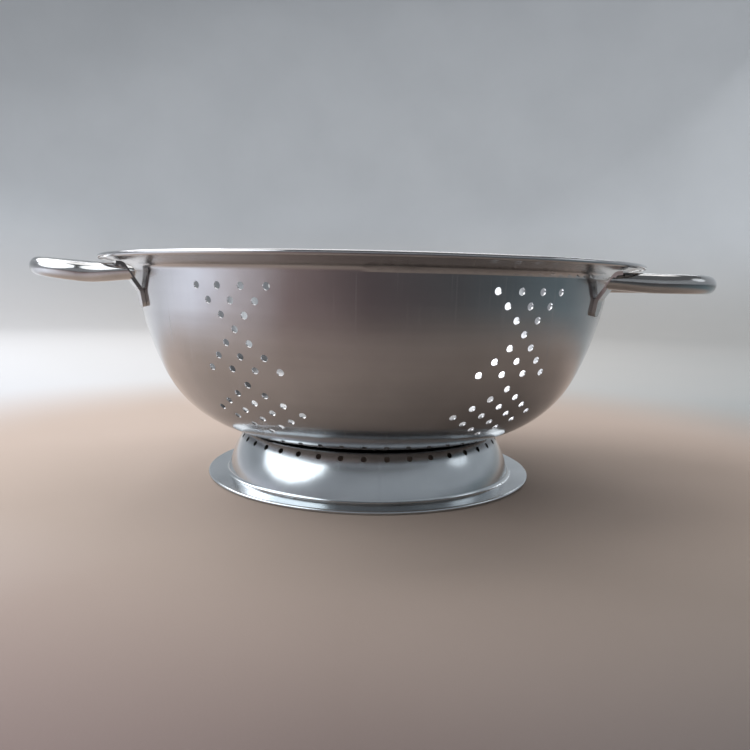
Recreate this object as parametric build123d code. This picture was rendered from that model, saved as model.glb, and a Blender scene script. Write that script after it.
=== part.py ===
from build123d import *
from math import cos, degrees, radians, sin
import os

# Footed colander of pressed stainless sheet, with a perforated bowl,
# a spun foot ring and two bent tube handles.
# The origin is on the table under the middle of the foot, +Z is up
# and the handles point along +X and -X.  All lengths are millimetres.

# Overall sizes
rim_radius = 140.0
sheet = 0.6

# Bowl: the line of its outer face, from the middle of the floor to the rim
floor_height = 23.7
floor_radius = 56.2
heel_radius = 58.5
heel_turn = 65.0
wall_radius = 161.0
wall_turn = 18.0
corner_radius = 3.0
flange_tilt = 14.0
bead_radius = 1.1

# Bowl holes: an hourglass of rows over a diamond of rows, six times round
hole_diameter = 3.2
punch_length = 6.0
cluster_count = 6
first_row_drop = 6.2
hourglass_rows = (4, 3, 2, 1, 2, 3, 4)
hourglass_step = 6.0
hourglass_pitch = 11.7
diamond_rows = (1, 2, 3, 4, 3, 2, 1)
diamond_step = 4.8
diamond_pitch = 14.2
diamond_gap = 7.3

# Drain holes of the floor, in rings about one in the middle
drain_rings = 3
drain_ring_step = 12.5
drain_holes_per_ring = 6

# Foot ring
seat_width = 7.0
shoulder_start = 66.0
shoulder_radius = 2.5
shoulder_turn = 55.0
skirt_turn = 23.0
toe_radius = 2.0
foot_radius = 87.6
hem_thickness = 1.8
hem_width = 3.1
foot_hole_count = 40
foot_hole_diameter = 2.8
foot_hole_height = 20.6

# Turn of the hole pattern from the line through the handles
cluster_turn = 4.0

# Handles: loops of tube, whose ends are pressed flat and bent down
tube_radius = 4.4
tube_height = 104.6
handle_reach = 162.6
handle_half_width = 65.0
handle_corner_radius = 29.0
arm_start = 133.0
arm_end_x = 104.0
right_loop_tilt = 0.0
left_loop_tilt = 5.5
press_shares = ((0, 0), (0.35, 0.2), (0.7, 0.8), (1, 1))
pressed_width = 12.0
pressed_height = 8.2

# Ribbons: the flat ends, which slope down to the wall and lie on it
tab_azimuth = 30.3
weld_gap = 0.05
ribbon_thickness = 1.8
ribbon_bend_radius = 3.4
ribbon_slope = 54.5
ribbon_landing = 1.5
ribbon_rise = 0.7
ribbon_top_width = 13.6
ribbon_tip_width = 6.2
ribbon_corner_radius = 2.8
tab_top_drop = 9.9
tab_tip_drop = 17.0
tab_low_drop = 22.0


def beside(curve, share, gap):
    """Point at a share of a curve, moved to the left of its direction."""
    along = curve % share
    return curve @ share + gap * Vector(-along.Y, along.X)


def parallel_arc(arc, gap):
    """The arc that runs beside another one at a constant gap."""
    return ThreePointArc(*[beside(arc, share, gap) for share in (0, 0.5, 1)])


def parallel_line(line, gap):
    """The line that runs beside another one at a constant gap."""
    return Line(beside(line, 0, gap), beside(line, 1, gap))


def turned(profile):
    """Solid swept by a profile of radius and height about the Z axis."""
    return revolve(Plane.XZ * profile, Axis.Z)


# Outer face of the bowl
floor_line = Line((0, floor_height), (floor_radius, floor_height))
heel = JernArc(floor_line @ 1, floor_line % 1, heel_radius, heel_turn)
wall = JernArc(heel @ 1, heel % 1, wall_radius, wall_turn)
corner = JernArc(wall @ 1, wall % 1, corner_radius, flange_tilt - heel_turn - wall_turn)
bead_centre_radius = rim_radius - bead_radius
flange_length = (bead_centre_radius - (corner @ 1).X) / cos(radians(flange_tilt))
flange = PolarLine(corner @ 1, flange_length, flange_tilt)
side = Wire([heel, wall])


def side_plane(drop, azimuth=0):
    """Plane lying on the bowl's side, a distance down from the rim corner."""
    distance = side.length - drop
    spot = side.position_at(distance, position_mode=PositionMode.LENGTH)
    along = side.tangent_at(distance, position_mode=PositionMode.LENGTH)
    radial = Vector(cos(radians(azimuth)), sin(radians(azimuth)))
    origin = radial * spot.X + Vector(0, 0, spot.Y)
    outward = radial * along.Y - Vector(0, 0, along.X)
    return Plane(origin, x_dir=(-radial.Y, radial.X, 0), z_dir=outward)


def hole_row(count, pitch, drop):
    """Punches for one row of holes across a cluster."""
    plane = side_plane(drop)
    pitch_angle = degrees(pitch / plane.origin.X)
    punch = plane * Cylinder(hole_diameter / 2, punch_length)
    first = -(count - 1) / 2 * pitch_angle
    return [Rot(0, 0, first + place * pitch_angle) * punch for place in range(count)]


def cluster_punches():
    """Punches for one hourglass and the diamond under it."""
    punches = []
    drop = first_row_drop
    for count in hourglass_rows:
        punches += hole_row(count, hourglass_pitch, drop)
        drop += hourglass_step
    drop += diamond_gap - hourglass_step
    for count in diamond_rows:
        punches += hole_row(count, diamond_pitch, drop)
        drop += diamond_step
    return punches


def drain_punches():
    """Punches for the rings of holes in the floor."""
    punch = Pos(0, 0, floor_height) * Cylinder(hole_diameter / 2, punch_length)
    punches = [punch]
    for ring in range(1, drain_rings + 1):
        places = PolarLocations(ring * drain_ring_step, ring * drain_holes_per_ring)
        punches += [place * punch for place in places]
    return punches


def make_bowl():
    """Pressed bowl with its flared rim, rolled edge and holes."""
    outer = [floor_line, heel, wall, corner, flange]
    inner = [
        parallel_line(floor_line, sheet),
        parallel_arc(heel, sheet),
        parallel_arc(wall, sheet),
        parallel_arc(corner, sheet),
        parallel_line(flange, sheet),
    ]
    ends = [Line(inner[0] @ 0, outer[0] @ 0), Line(inner[-1] @ 1, outer[-1] @ 1)]
    section = make_face(Curve() + outer + inner + ends)
    bead = Pos(bead_centre_radius, (flange @ 1).Y + sheet / 2) * Circle(bead_radius)
    bowl = turned(section + bead)
    punches = []
    for place in range(cluster_count):
        turn = Rot(0, 0, cluster_turn + place * 360 / cluster_count)
        punches += [turn * punch for punch in cluster_punches()]
    return bowl - punches - drain_punches()


def make_foot():
    """Spun foot ring: a seat under the flat floor, a domed skirt and a hemmed foot."""
    steepest = shoulder_turn + skirt_turn
    edge_radius = hem_thickness / 2
    shoulder_drop = shoulder_radius * (1 - cos(radians(shoulder_turn)))
    toe_drop = toe_radius * (1 - cos(radians(steepest)))
    skirt_drop = floor_height - hem_thickness - shoulder_drop - toe_drop
    skirt_radius = skirt_drop / (cos(radians(shoulder_turn)) - cos(radians(steepest)))

    seat = Line((floor_radius - seat_width, floor_height), (shoulder_start, floor_height))
    shoulder = JernArc(seat @ 1, seat % 1, shoulder_radius, -shoulder_turn)
    skirt = JernArc(shoulder @ 1, shoulder % 1, skirt_radius, -skirt_turn)
    toe = JernArc(skirt @ 1, skirt % 1, toe_radius, steepest)
    sole = Line(toe @ 1, (foot_radius - edge_radius, hem_thickness))
    outer = [seat, shoulder, skirt, toe, sole]
    inner = [
        parallel_line(seat, -sheet),
        parallel_arc(shoulder, -sheet),
        parallel_arc(skirt, -sheet),
        parallel_arc(toe, -sheet),
        parallel_line(sole, -sheet),
    ]
    ends = [Line(inner[0] @ 0, outer[0] @ 0), Line(inner[-1] @ 1, outer[-1] @ 1)]
    section = make_face(Curve() + outer + inner + ends)
    fold = Pos(foot_radius - hem_width / 2 - edge_radius / 2, edge_radius)
    fold *= Rectangle(hem_width - edge_radius, hem_thickness)
    edge = Pos(foot_radius - edge_radius, edge_radius) * Circle(edge_radius)
    ring = turned(section + fold + edge)

    lean = (foot_hole_height - (skirt @ 1).Y) / ((skirt @ 0).Y - (skirt @ 1).Y)
    spot = skirt @ (1 - lean)
    along = skirt % (1 - lean)
    plane = Plane((spot.X, 0, spot.Y), x_dir=(0, 1, 0), z_dir=(-along.Y, 0, along.X))
    punch = plane * Cylinder(foot_hole_diameter / 2, punch_length)
    pitch_angle = 360 / foot_hole_count
    return ring - [Rot(0, 0, place * pitch_angle) * punch for place in range(foot_hole_count)]


def wall_share(drop):
    """Share of the wall's arc at a distance down from the rim corner."""
    return 1 - drop / wall.length


def ribbon_line():
    """Inner face of a ribbon: up the wall, out along the slope, into the tube."""
    low, high = wall_share(tab_low_drop), wall_share(tab_top_drop)
    shares = (low, (low + high) / 2, high)
    contact = ThreePointArc(*[beside(wall, share, -weld_gap) for share in shares])
    heading = heel_turn + high * wall_turn
    root = JernArc(contact @ 1, contact % 1, ribbon_bend_radius, ribbon_slope - heading)
    elbow_rise = ribbon_bend_radius * (1 - cos(radians(ribbon_slope)))
    slope_rise = tube_height + tube_radius + ribbon_rise - elbow_rise - (root @ 1).Y
    slope = PolarLine(root @ 1, slope_rise / sin(radians(ribbon_slope)), ribbon_slope)
    elbow = JernArc(slope @ 1, slope % 1, ribbon_bend_radius, -ribbon_slope)
    landing = Line(elbow @ 1, elbow @ 1 + Vector(ribbon_landing, 0))
    return contact, root, slope, elbow, landing


def ribbon():
    """Flat end of the nearer arm, cut from a band that runs round the bowl."""
    inner = ribbon_line()
    contact, root, slope, elbow, landing = inner
    outer = [
        parallel_arc(contact, -ribbon_thickness),
        parallel_arc(root, -ribbon_thickness),
        parallel_line(slope, -ribbon_thickness),
        parallel_arc(elbow, -ribbon_thickness),
        parallel_line(landing, -ribbon_thickness),
    ]
    ends = [Line(inner[0] @ 0, outer[0] @ 0), Line(inner[-1] @ 1, outer[-1] @ 1)]
    band = turned(make_face(Curve() + list(inner) + outer + ends))
    top = slope.length + tab_top_drop
    corners = [
        (-ribbon_top_width / 2, top),
        (-ribbon_tip_width / 2, tab_top_drop - tab_tip_drop),
        (ribbon_tip_width / 2, tab_top_drop - tab_tip_drop),
        (ribbon_top_width / 2, top),
    ]
    outline = make_face(Polyline(*corners, close=True))
    tip = outline.vertices().sort_by(Axis.Y)[:2]
    outline = fillet(tip, ribbon_corner_radius)
    plane = side_plane(tab_top_drop, -tab_azimuth)
    return band & extrude(plane * outline, top, both=True)


def arm_end(loop_tilt):
    """End of the nearer arm, pressed wide and cut off along the ribbon."""
    rise = Vector(cos(radians(loop_tilt)), 0, sin(radians(loop_tilt)))
    start = Vector(arm_start, -handle_half_width, tube_height)
    top = tube_height + tube_radius + ribbon_rise
    end = Vector(arm_end_x, -handle_half_width, top - pressed_height / 2)
    third = (arm_start - arm_end_x) / 3
    path = Bezier(start, start - rise * third, end + Vector(third, 0), end)
    sections = []
    for way_share, press_share in press_shares:
        ahead = path % way_share
        width = 2 * tube_radius + press_share * (pressed_width - 2 * tube_radius)
        height = 2 * tube_radius + press_share * (pressed_height - 2 * tube_radius)
        plane = Plane(path @ way_share, x_dir=ahead.cross(Vector(0, 0, 1)), z_dir=ahead)
        sections.append(plane * Ellipse(width / 2, height / 2))
    slope = ribbon_line()[2]
    middle = beside(slope, 0.5, -ribbon_thickness / 2)
    radial = Vector(cos(radians(tab_azimuth)), -sin(radians(tab_azimuth)))
    along = slope % 0.5
    inward = Vector(0, 0, along.X) - radial * along.Y
    cut = Plane(radial * middle.X + Vector(0, 0, middle.Y), z_dir=inward)
    return split(loft(sections), bisect_by=cut, keep=Keep.BOTTOM)


def make_handle(loop_tilt):
    """Bent tube handle of the +X side, one half mirrored to the other."""
    end = arm_end(loop_tilt)
    cap = end.faces().sort_by(Axis.X)[-1]
    reach = (handle_reach - arm_start) / cos(radians(loop_tilt))
    straight = Line((0, -handle_half_width), (reach - handle_corner_radius, -handle_half_width))
    turn = JernArc(straight @ 1, straight % 1, handle_corner_radius, 90)
    across = Line(turn @ 1, (reach, 0))
    loop = Plane((arm_start, 0, tube_height)).rotated((0, -loop_tilt, 0))
    tube = sweep(cap, loop * (Curve() + [straight, turn, across]))
    half = tube + end + ribbon()
    return half + mirror(half, Plane.XZ)


bowl = make_bowl()
foot_ring = make_foot()
handle_right = make_handle(right_loop_tilt)
handle_left = mirror(make_handle(left_loop_tilt), Plane.YZ)

os.makedirs("parts", exist_ok=True)
nodes = {
    "bowl": bowl,
    "foot_ring": foot_ring,
    "handle_left": handle_left,
    "handle_right": handle_right,
}
for name, solid in nodes.items():
    export_step(solid, f"parts/{name}.step")
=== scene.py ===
from math import cos, pi, radians, sin

import bpy
from mathutils import Matrix, Vector

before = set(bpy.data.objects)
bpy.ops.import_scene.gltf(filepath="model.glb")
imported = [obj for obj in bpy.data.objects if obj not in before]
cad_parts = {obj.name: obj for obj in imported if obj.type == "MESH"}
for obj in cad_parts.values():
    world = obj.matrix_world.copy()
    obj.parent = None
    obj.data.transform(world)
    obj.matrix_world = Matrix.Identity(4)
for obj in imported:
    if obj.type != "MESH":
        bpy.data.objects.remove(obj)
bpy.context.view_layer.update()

# ---- Bowl
# One deep-drawn pressing of 0.6 mm stainless sheet, with a flared and rolled
# rim and punched holes.  The draw and a belt finish leave faint rings round it,
# the heel is polished and painted brighter, a painted reflection band, and use
# leaves smudges and scratches.


class Shade:
    """One value or colour in a material, with its sums written in Python."""

    def __init__(self, tree, socket=None):
        self.tree = tree
        self.socket = socket

    def node(self, kind, inputs=(), output=0, stops=(), **settings):
        """Adds a node: its settings first, then the values or links it takes."""
        made = self.tree.nodes.new("ShaderNode" + kind)
        for name, value in settings.items():
            setattr(made, name, value)
        for count, (position, colour) in enumerate(stops):
            ramp = made.color_ramp.elements
            stop = ramp[count] if count < len(ramp) else ramp.new(position)
            stop.position = position
            stop.color = (*colour, 1)
        for name, value in dict(inputs).items():
            if isinstance(value, Shade):
                self.tree.links.new(value.socket, made.inputs[name])
            else:
                made.inputs[name].default_value = value
        return Shade(self.tree, made.outputs[output] if made.outputs else None)

    def math(self, operation, first, second=0.0):
        return self.node("Math", {0: first, 1: second}, operation=operation)

    def __add__(self, other):
        return self.math("ADD", self, other)

    def __sub__(self, other):
        return self.math("SUBTRACT", self, other)

    def __rsub__(self, other):
        return self.math("SUBTRACT", other, self)

    def __mul__(self, other):
        return self.math("MULTIPLY", self, other)

    def __truediv__(self, other):
        return self.math("DIVIDE", self, other)

    def __rtruediv__(self, other):
        return self.math("DIVIDE", other, self)

    __radd__ = __add__
    __rmul__ = __mul__


def new_material(name):
    """A material with an empty node tree, ready for its shader."""
    material = bpy.data.materials.new(name)
    material.use_nodes = True
    material.node_tree.nodes.clear()
    return material, Shade(material.node_tree)


def fade(shade, value, start, end):
    """0 at the start and 1 at the end, which may be the lower one, and soft between."""
    inputs = {"Value": value, "From Min": start, "From Max": end}
    return shade.node("MapRange", inputs, interpolation_type="SMOOTHSTEP")


def mixed(shade, share, first, second):
    """The first colour turning into the second as the share goes from 0 to 1."""
    return shade.node("Mix", {0: share, 6: first, 7: second}, output=2, data_type="RGBA")


def turned_lines(shade, lengthwise, crosswise):
    """Noise drawn out into rings round the bowl's axis, finer across than along."""
    place = shade.node("TexCoord", output="Object")
    x, y, z = (shade.node("SeparateXYZ", {0: place}, output=axis) for axis in "XYZ")
    radius = shade.math("SQRT", x * x + y * y)
    ring = shade.node(
        "CombineXYZ", {0: x * lengthwise, 1: y * lengthwise, 2: (radius + z) * crosswise}
    )
    return shade.node("TexNoise", {"Vector": ring, "Scale": 1.0, "Detail": 2.0})


def scratches(shade, turn, fineness=900.0, length=14.0):
    """Thin straight marks, 1 on a mark and 0 elsewhere, drawn out in one direction."""
    stretch = (fineness, length, length)
    place = shade.node("TexCoord", output="Object")
    turned = shade.node("Mapping", {"Vector": place, "Rotation": turn, "Scale": stretch})
    streak = shade.node("TexNoise", {"Vector": turned, "Scale": 1.0, "Detail": 1.0})
    return shade.node("MapRange", {"Value": streak, "From Min": 0.68, "From Max": 0.74})


def dress(node, material):
    """Gives a solid of the frame its material."""
    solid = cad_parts[node]
    solid.data.materials.clear()
    solid.data.materials.append(material)


smudged_sheet, clean_sheet = (0.42, 0.415, 0.42), (0.51, 0.505, 0.51)
heel_reflection_sheet = (0.78, 0.80, 0.81, 1)
# Heights over the table in metres, between which one finish turns into another,
# and below which the heel takes its painted reflection band.
satin_start, satin_full = 0.028, 0.048
reflection_start, reflection_full, reflection_waver = 0.0315, 0.0295, 0.002
# The depth of the finest rings in metres, and the rest as a multiple of it.
ring_depth, band_rise, dent_rise = 0.0001, 4.0, 45.0

bowl_steel, shade = new_material("bowl_steel")
place = shade.node("TexCoord", output="Object")
height = shade.node("SeparateXYZ", {0: place}, output="Z")
lines = turned_lines(shade, lengthwise=8.0, crosswise=700.0)
bands = turned_lines(shade, lengthwise=4.0, crosswise=150.0)
smudge = shade.node(
    "TexNoise", {"Vector": place, "Scale": 28.0, "Detail": 5.0, "Roughness": 0.6}
)
dents = shade.node("TexNoise", {"Vector": place, "Scale": 22.0, "Detail": 0.0})
marks = scratches(shade, (0.5, 0.3, 0.9)) + scratches(shade, (1.3, -0.6, 0.2), 1100.0)
tint = shade.node(
    "ValToRGB",
    {"Fac": smudge * 0.7 + bands * 0.3},
    stops=((0.3, smudged_sheet), (0.7, clean_sheet)),
)
satin = fade(shade, height, satin_start, satin_full)
heel_reflection = fade(shade, height + (smudge - 0.5) * reflection_waver, reflection_start, reflection_full)
# The heel is painted brighter: a painted reflection band.
tint = mixed(shade, heel_reflection, tint, heel_reflection_sheet)
bump = shade.node(
    "Bump",
    {
        "Strength": satin * 0.06,
        "Distance": ring_depth,
        "Height": lines + bands * band_rise + dents * dent_rise,
    },
)
steel = shade.node(
    "BsdfPrincipled",
    {
        "Base Color": tint,
        "Metallic": 1.0,
        "Roughness": 0.02 + satin * 0.09 + smudge * 0.09 + lines * 0.03 + marks * 0.08,
        "Anisotropic": 0.8,
        "Anisotropic Rotation": 0.25,
        "Normal": bump,
    },
)
shade.node("OutputMaterial", {"Surface": steel})
dress("bowl", bowl_steel)

# ---- Foot ring
# One ring spun from the same sheet, polished bright, with a hemmed edge.  It is
# spot-welded under the bowl's floor, and its top under the seam, above its holes,
# is painted dark: a painted shade band.
dull_ring, bright_ring = (0.50, 0.53, 0.55), (0.59, 0.62, 0.64)
seam_shade_tint, seam_shade_share = (0.11, 0.10, 0.10, 1), 0.75
seam_shade_start, seam_shade_full, seam_shade_waver = 0.0185, 0.0215, 0.002

foot_steel, shade = new_material("foot_steel")
place = shade.node("TexCoord", output="Object")
height = shade.node("SeparateXYZ", {0: place}, output="Z")
lines = turned_lines(shade, lengthwise=8.0, crosswise=800.0)
smudge = shade.node("TexNoise", {"Vector": place, "Scale": 40.0, "Detail": 4.0})
marks = scratches(shade, (0.4, 1.2, 1.9))
tint = shade.node("ValToRGB", {"Fac": smudge}, stops=((0.3, dull_ring), (0.7, bright_ring)))
# The top of the ring, under the seam, is painted dark: painted shade.
seam_shade = fade(shade, height + (smudge - 0.5) * seam_shade_waver, seam_shade_start, seam_shade_full)
tint = mixed(shade, seam_shade * seam_shade_share, tint, seam_shade_tint)
bump = shade.node("Bump", {"Strength": 0.1, "Distance": ring_depth, "Height": lines})
steel = shade.node(
    "BsdfPrincipled",
    {
        "Base Color": tint,
        "Metallic": 1.0,
        "Roughness": 0.13 + smudge * 0.12 + marks * 0.04,
        "Normal": bump,
    },
)
shade.node("OutputMaterial", {"Surface": steel})
dress("foot_ring", foot_steel)

# ---- Handles
# Each is one bent tube of polished stainless steel.  Its ends are pressed flat,
# turned down and spot-welded to the bowl, and the press leaves them duller.  Their
# colour is also painted paler there, a painted sheen for the light on their faces.
smudged_tube, clean_tube = (0.44, 0.435, 0.43), (0.54, 0.535, 0.53)
pressed_sheen_tube = (0.70, 0.70, 0.69)
press_start, press_full, grain_depth = 0.100, 0.094, 0.0001

handle_steel, shade = new_material("handle_steel")
place = shade.node("TexCoord", output="Object")
height = shade.node("SeparateXYZ", {0: place}, output="Z")
smudge = shade.node("TexNoise", {"Vector": place, "Scale": 60.0, "Detail": 4.0})
marks = scratches(shade, (0.2, 1.1, 0.6))
# The pressed ends are rougher, and they are also painted paler: a painted sheen.
pressed_and_sheen = fade(shade, height, press_start, press_full)
tint = shade.node(
    "ValToRGB",
    {"Fac": smudge * 0.7 + pressed_and_sheen * 0.3},
    stops=((0.25, smudged_tube), (0.5, clean_tube), (0.7, pressed_sheen_tube)),
)
grain = shade.node("TexNoise", {"Vector": place, "Scale": 700.0, "Detail": 2.0})
bump = shade.node("Bump", {"Strength": 0.06, "Distance": grain_depth, "Height": grain})
steel = shade.node(
    "BsdfPrincipled",
    {
        "Base Color": tint,
        "Metallic": 1.0,
        "Roughness": 0.09 + smudge * 0.08 + pressed_and_sheen * 0.3 + marks * 0.06,
        "Normal": bump,
    },
)
shade.node("OutputMaterial", {"Surface": steel})
dress("handle_left", handle_steel)
dress("handle_right", handle_steel)

# ---- Floor and backdrop
# One sheet of paper under the part.  It is warm in tone near the part, and
# further out, and nearer in front, it is painted with light and shade so that the
# steel has something to mirror: painted shade in front and to the right, and a
# painted bright patch to the left.  It curves up into a plain wall all round.
flat_reach, wall_bend, wall_height = 1.3, 0.5, 1.3
flat_rings = (0.0, 0.2, 0.4, 0.7, 1.0, flat_reach)
spokes, bend_steps = 96, 12
near_edge, far_edge, front_shift = 0.23, 0.44, 0.12
wall_start, wall_full = 0.0, 0.3
paper_tints = ((0.3, (0.43, 0.335, 0.275)), (0.7, (0.46, 0.36, 0.30)))
wall_tints = ((0.3, (0.56, 0.58, 0.60)), (0.7, (0.60, 0.62, 0.64)))
# The far tints are painted light and shade and go once round the part: back,
# left with a painted bright patch, front and right in painted shade, and back again.
painted_light_and_shade = (
    (0.00, (0.50, 0.47, 0.44)),
    (0.12, (0.54, 0.53, 0.53)),
    (0.20, (0.52, 0.52, 0.54)),
    (0.285, (0.84, 0.84, 0.91)),
    (0.35, (0.58, 0.52, 0.53)),
    (0.42, (0.25, 0.175, 0.165)),
    (0.50, (0.10, 0.07, 0.07)),
    (0.60, (0.08, 0.078, 0.08)),
    (0.75, (0.16, 0.215, 0.235)),
    (0.88, (0.40, 0.40, 0.39)),
    (1.00, (0.50, 0.47, 0.44)),
)
far_drift, fibre_depth = 0.03, 0.0005

profile = [(reach, 0.0) for reach in flat_rings]
for step in range(1, bend_steps + 1):
    turn = radians(90 * step / bend_steps)
    profile.append((flat_reach + wall_bend * sin(turn), wall_bend * (1 - cos(turn))))
profile.append((flat_reach + wall_bend, wall_height))
points, faces = [], []
for reach, rise in profile:
    for spoke in range(spokes):
        turn = 2 * pi * spoke / spokes
        points.append((reach * cos(turn), reach * sin(turn), rise))
for ring in range(len(profile) - 1):
    near, far = ring * spokes, (ring + 1) * spokes
    for spoke in range(spokes):
        beyond = (spoke + 1) % spokes
        faces.append((near + spoke, far + spoke, far + beyond, near + beyond))
floor_mesh = bpy.data.meshes.new("floor")
floor_mesh.from_pydata(points, [], faces)
floor_mesh.validate()
for face in floor_mesh.polygons:
    face.use_smooth = True
floor = bpy.data.objects.new("floor", floor_mesh)
bpy.context.scene.collection.objects.link(floor)

floor_paper, shade = new_material("floor_paper")
place = shade.node("TexCoord", output="Object")
x, y, z = (shade.node("SeparateXYZ", {0: place}, output=axis) for axis in "XYZ")
reach = shade.math("SQRT", x * x + y * y)
cloud = shade.node("TexNoise", {"Vector": place, "Scale": 5.0, "Detail": 4.0})
way_round = shade.math("ARCTAN2", x, y * -1.0) / (2 * pi) + 0.5
drifted = way_round + (cloud - 0.5) * far_drift
far_painted_tint = shade.node("ValToRGB", {"Fac": drifted}, stops=painted_light_and_shade)
near_tint = shade.node("ValToRGB", {"Fac": cloud}, stops=paper_tints)
wall_tint = shade.node("ValToRGB", {"Fac": cloud}, stops=wall_tints)
to_front = shade.math("MAXIMUM", y * -1.0 / reach, 0.0)
# Further out, and nearer in front, the floor takes the painted light and shade: a painted
# falloff.
painted_falloff_share = fade(shade, reach + to_front * front_shift, near_edge, far_edge)
wall_share = fade(shade, z, wall_start, wall_full)
tint = mixed(shade, painted_falloff_share, near_tint, far_painted_tint)
tint = mixed(shade, wall_share, tint, wall_tint)
grain = shade.node("TexNoise", {"Vector": place, "Scale": 900.0, "Detail": 2.0})
bump = shade.node("Bump", {"Strength": 0.08, "Distance": fibre_depth, "Height": grain})
paper = shade.node("BsdfPrincipled", {"Base Color": tint, "Roughness": 0.85, "Normal": bump})
shade.node("OutputMaterial", {"Surface": paper})
floor_mesh.materials.append(floor_paper)

# ---- Light
# Large soft boxes light the part from the left and from behind, a small one
# lights it from the right, and a wide one hangs over it.  The room adds a low,
# even light from all round.
blue_white, cool_white = (0.93, 0.95, 1.0), (0.90, 0.96, 1.0)
near_white, white = (0.96, 0.98, 1.0), (1.0, 1.0, 1.0)
room_tint, room_strength = (0.50, 0.52, 0.55, 1), 0.3
# Each has a name, a place, the height on the part's axis at which it is aimed,
# a width and a height in metres, a power in watts and a colour.
soft_boxes = (
    ("window_left", (-1.05, 0.48, 1.05), 0.06, (1.0, 0.8), 12, blue_white),
    ("window_front", (-0.92, -0.32, 0.72), 0.03, (1.3, 1.1), 9, cool_white),
    ("window_right", (1.0, 0.0, 0.62), 0.03, (0.45, 0.4), 0.4, cool_white),
    ("window_back", (-0.2, 1.2, 0.95), 0.08, (2.6, 0.6), 9, near_white),
    ("overhead", (-0.1, 0.45, 1.5), 0.0, (2.2, 1.0), 10, white),
)

for name, place, aim_height, size, power, colour in soft_boxes:
    lamp = bpy.data.lights.new(name, "AREA")
    lamp.shape = "ELLIPSE"
    lamp.size, lamp.size_y = size
    lamp.energy = power
    lamp.color = colour
    soft_box = bpy.data.objects.new(name, lamp)
    soft_box.location = place
    towards = Vector((0, 0, aim_height)) - Vector(place)
    soft_box.rotation_euler = towards.to_track_quat("-Z", "Y").to_euler()
    bpy.context.scene.collection.objects.link(soft_box)

room = bpy.data.worlds.new("room")
room.use_nodes = True
room_light = room.node_tree.nodes["Background"]
room_light.inputs["Color"].default_value = room_tint
room_light.inputs["Strength"].default_value = room_strength
bpy.context.scene.world = room

# ---- Camera
# It stands in front of the part, a little below the rim, turned slightly to one
# side and rolled a little, as in the photograph.  Lengths are in metres.
camera_turn, camera_away, camera_height, camera_beside = 1.7, 0.39487, 0.09999, 0.00069
look_right, look_down, picture_roll = radians(0.29), radians(6.92), radians(1.24)
focal_pixels, picture_pixels, sensor_width = 717.2, 750, 36

ahead = Vector(
    (sin(look_right) * cos(look_down), cos(look_right) * cos(look_down), -sin(look_down))
)
level = Vector((cos(look_right), -sin(look_right), 0))
upright = level.cross(ahead)
across = level * cos(picture_roll) + upright * sin(picture_roll)
above = upright * cos(picture_roll) - level * sin(picture_roll)
facing = Matrix((across, above, -ahead)).transposed().to_4x4()
stand = Matrix.Translation((camera_beside, -camera_away, camera_height))
camera = bpy.data.objects.new("camera", bpy.data.cameras.new("camera"))
camera.data.sensor_width = sensor_width
camera.data.lens = focal_pixels / picture_pixels * sensor_width
camera.matrix_world = Matrix.Rotation(radians(camera_turn), 4, "Z") @ stand @ facing
bpy.context.scene.collection.objects.link(camera)
bpy.context.scene.camera = camera
bpy.context.scene.view_settings.view_transform = "Standard"
